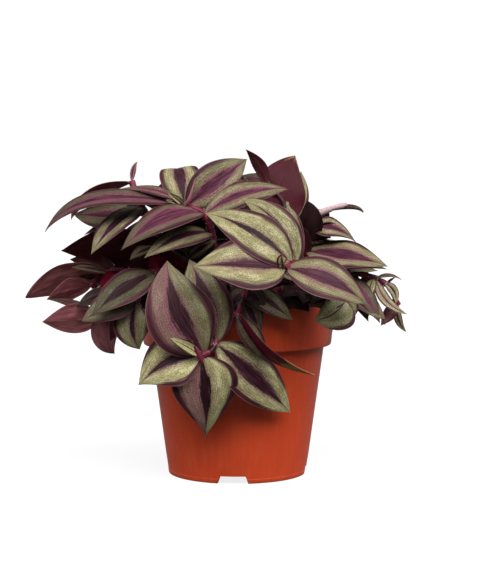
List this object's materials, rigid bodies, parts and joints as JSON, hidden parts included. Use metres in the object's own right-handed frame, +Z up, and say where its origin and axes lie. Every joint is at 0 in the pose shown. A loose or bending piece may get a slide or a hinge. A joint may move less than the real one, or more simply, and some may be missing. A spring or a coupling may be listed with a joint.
{
  "type": "potted tradescantia",
  "caption": "Potted tradescantia: trailing leafy stems with silver-striped purple-green leaves in a round tapered nursery pot with a deep rim band.",
  "frame": {"origin": "on the pot's axis, in the plane that the foot stands on", "axes": "+Z up along the pot's axis; the plant's front, as pictured, faces -Y; +X to the right in the picture"},
  "size_m": [0.2289, 0.1902, 0.1973],
  "materials": {
    "pot": "semi-gloss moulded terracotta-coloured plastic",
    "soil": "loose dark peat",
    "foliage": "soft leaf with a satin sheen, silver bands above and maroon below"
  },
  "bodies": {
    "root": {"pot": "pot", "soil": "soil", "stem_front": "foliage", "stem_front_middle": "foliage", "stem_front_right": "foliage", "stem_top_left": "foliage", "stem_upper_left": "foliage", "stem_back_crown": "foliage", "stem_right": "foliage", "stem_far_right": "foliage", "stem_rim_right": "foliage", "stem_rim_left": "foliage", "stem_far_left": "foliage", "stem_low_left": "foliage", "stem_inner_left": "foliage", "stem_back_low_1": "foliage", "stem_back_low_2": "foliage", "stem_back_low_3": "foliage", "stem_back_low_4": "foliage", "stem_back_right": "foliage", "stem_back_middle_3": "foliage", "stem_centre": "foliage", "stem_centre_low": "foliage"}
  },
  "joints": []
}
